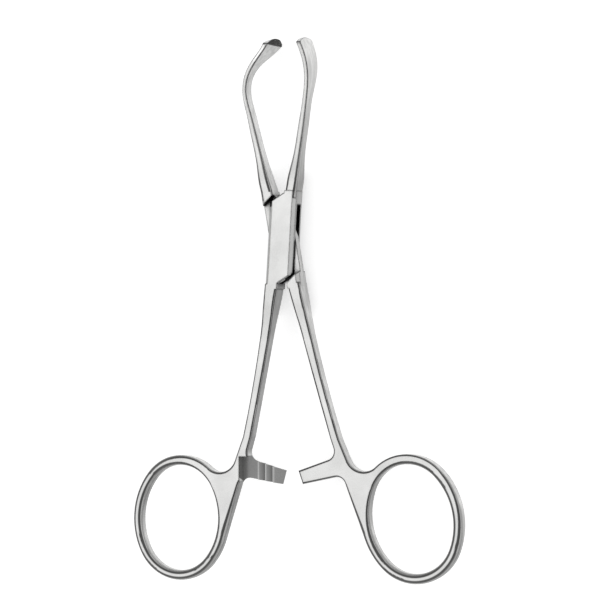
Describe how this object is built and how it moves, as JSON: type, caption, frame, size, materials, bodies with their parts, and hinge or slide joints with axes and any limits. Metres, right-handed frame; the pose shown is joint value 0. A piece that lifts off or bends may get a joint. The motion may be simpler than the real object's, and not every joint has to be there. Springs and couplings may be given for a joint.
{
  "type": "towel clamp",
  "caption": "Non-perforating towel clamp with a box lock, curved flat-tipped jaws, finger rings and ratchet racks.",
  "frame": {"origin": "pivot axis of the box lock at the back face of the box", "axes": "+Y from the pivot towards the jaws, +Z along the pivot axis out of the front face, +X to the right seen from the front"},
  "size_m": [0.0868, 0.1313, 0.0079],
  "materials": {
    "satin_steel": "satin matt stainless steel"
  },
  "bodies": {
    "female_side": {"female_half": "satin_steel", "pivot_pin": "satin_steel"},
    "male_side": {"male_half": "satin_steel"}
  },
  "joints": [
    {"name": "box_lock_pivot", "type": "hinge", "parent": "female_side", "child": "male_side", "pos_m": [0, 0, 0.0024], "axis": [0, 0, 1], "range_deg": [-8.8, 110]}
  ]
}
